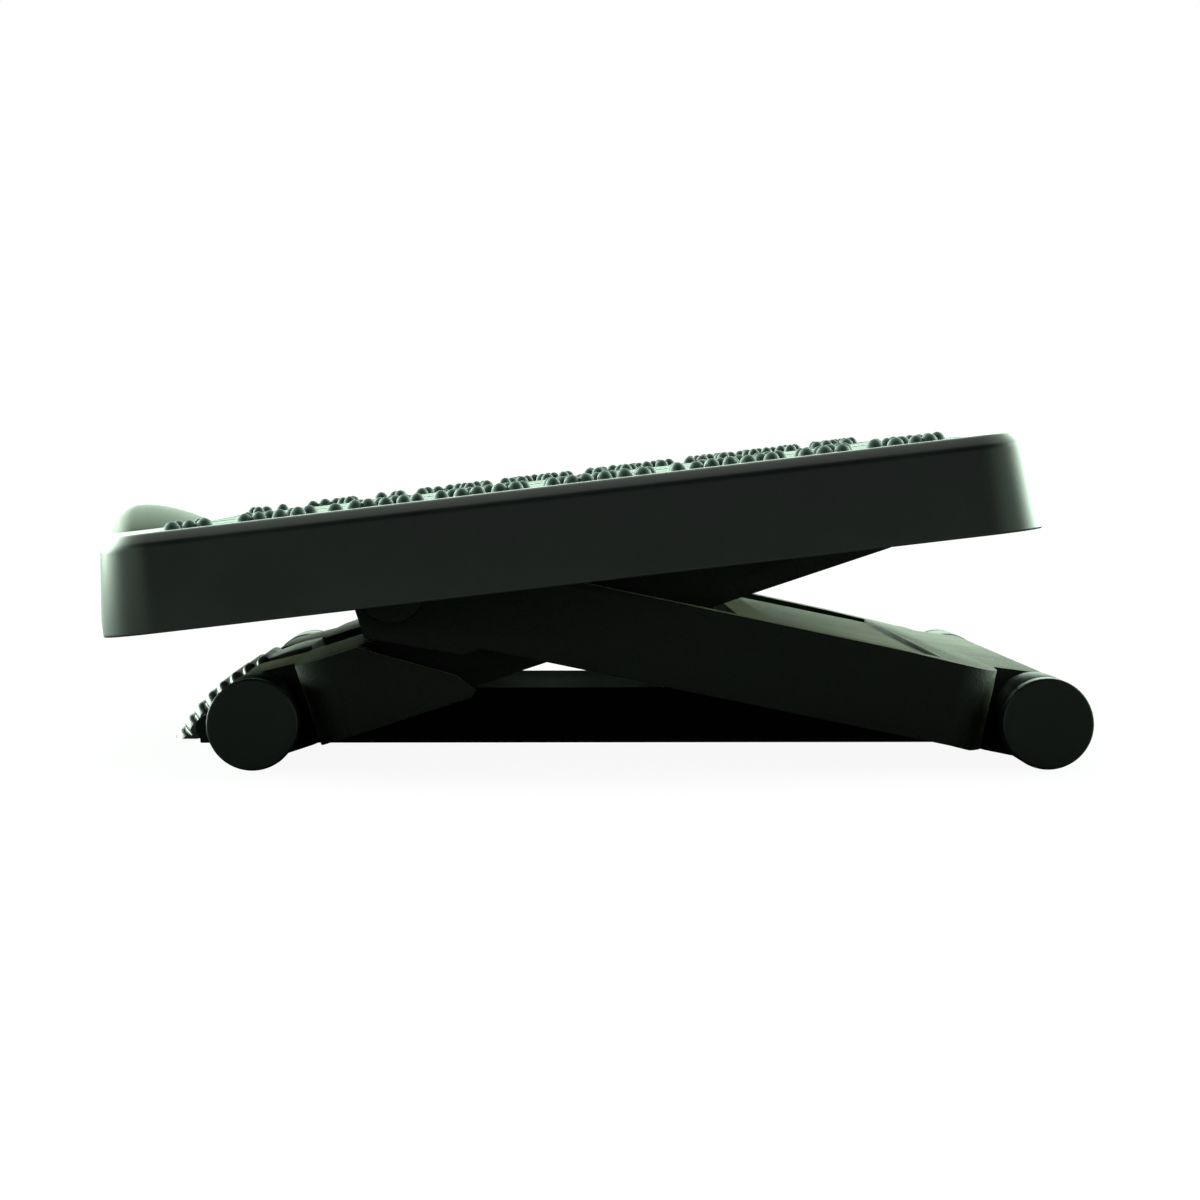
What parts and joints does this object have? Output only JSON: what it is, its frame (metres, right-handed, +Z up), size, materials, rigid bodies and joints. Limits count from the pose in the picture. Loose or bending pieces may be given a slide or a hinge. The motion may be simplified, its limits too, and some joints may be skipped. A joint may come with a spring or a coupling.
{
  "type": "slant board footrest",
  "caption": "Tilting footrest with a bumpy massage platform on crossed legs with round feet, a central rail and a ribbed foot pedal.",
  "frame": {"origin": "on the floor, below the middle of the whole object's bounding box", "axes": "+X towards the toe edge, +Y across the feet to the user's left when the toe edge is ahead, +Z up"},
  "size_m": [0.3843, 0.45, 0.1239],
  "materials": {
    "charcoal_shell": "satin, finely grained",
    "black_frame": "sandblasted texture",
    "foot_rubber": "smooth satin rubber",
    "mat_rubber": "soft satin",
    "arch_rubber": "smooth satin",
    "steel": "zinc plated",
    "nylon": "natural"
  },
  "bodies": {
    "base": {"base_rail": "black_frame", "rear_axle": "steel", "rear_foot_left": "foot_rubber", "rear_foot_right": "foot_rubber", "notch_plate": "steel", "pedal_pin": "steel", "pedal_springs": "steel", "pedal_pin_clips": "steel"},
    "pedal": {"pedal": "charcoal_shell", "latch_rack": "steel"},
    "rear_leg": {"rear_leg": "black_frame", "tilt_axle": "steel", "pivot_cap_left": "black_frame", "pivot_cap_right": "black_frame", "cross_pin_left": "steel", "cross_pin_right": "steel", "rear_bush_left": "nylon", "rear_bush_right": "nylon"},
    "front_leg": {"front_leg": "black_frame", "front_axle": "steel", "front_foot_left": "foot_rubber", "front_foot_right": "foot_rubber", "cross_bush_left": "nylon", "cross_bush_right": "nylon", "support_shaft": "steel", "glide_sleeve_left": "nylon", "glide_sleeve_right": "nylon"},
    "tilt_frame": {"tilt_frame": "black_frame", "tilt_bush_left": "nylon", "tilt_bush_right": "nylon", "tilt_stop_pads": "foot_rubber", "tilt_friction_washers": "nylon"},
    "platform": {"platform_shell": "charcoal_shell", "massage_mat_left": "mat_rubber", "massage_mat_right": "mat_rubber", "arch_support": "arch_rubber", "bearing_cap_left": "black_frame", "bearing_cap_right": "black_frame", "bearing_cap_screws": "steel"}
  },
  "joints": [
    {"name": "height_lift", "type": "hinge", "parent": "base", "child": "rear_leg", "pos_m": [0.1751, 0, 0.01675], "axis": [0, 1, 0], "range_deg": [0, 8.6]},
    {"name": "front_leg_fold", "type": "hinge", "parent": "rear_leg", "child": "front_leg", "pos_m": [-0.00406, 0, 0.05353], "axis": [0, 1, 0], "range_deg": [-22.9, 0]},
    {"name": "tilt_frame_follow", "type": "hinge", "parent": "rear_leg", "child": "tilt_frame", "pos_m": [-0.0649, 0, 0.06601], "axis": [0, 1, 0], "range_deg": [-15.7, 0]},
    {"name": "platform_tilt", "type": "hinge", "parent": "tilt_frame", "child": "platform", "pos_m": [-0.0649, 0, 0.06601], "axis": [0, -1, 0], "range_deg": [0, 13.3]},
    {"name": "pedal_press", "type": "hinge", "parent": "base", "child": "pedal", "pos_m": [-0.1427, 0, 0.006], "axis": [0, 1, 0], "range_deg": [0, 5], "stiffness_Nm_per_rad": 1.2, "springref_deg": -8.59}
  ],
  "couplings": [
    {"joint": "front_leg_fold", "follows": "height_lift", "ratio": -2.65},
    {"joint": "tilt_frame_follow", "follows": "height_lift", "ratio": -1.81}
  ]
}
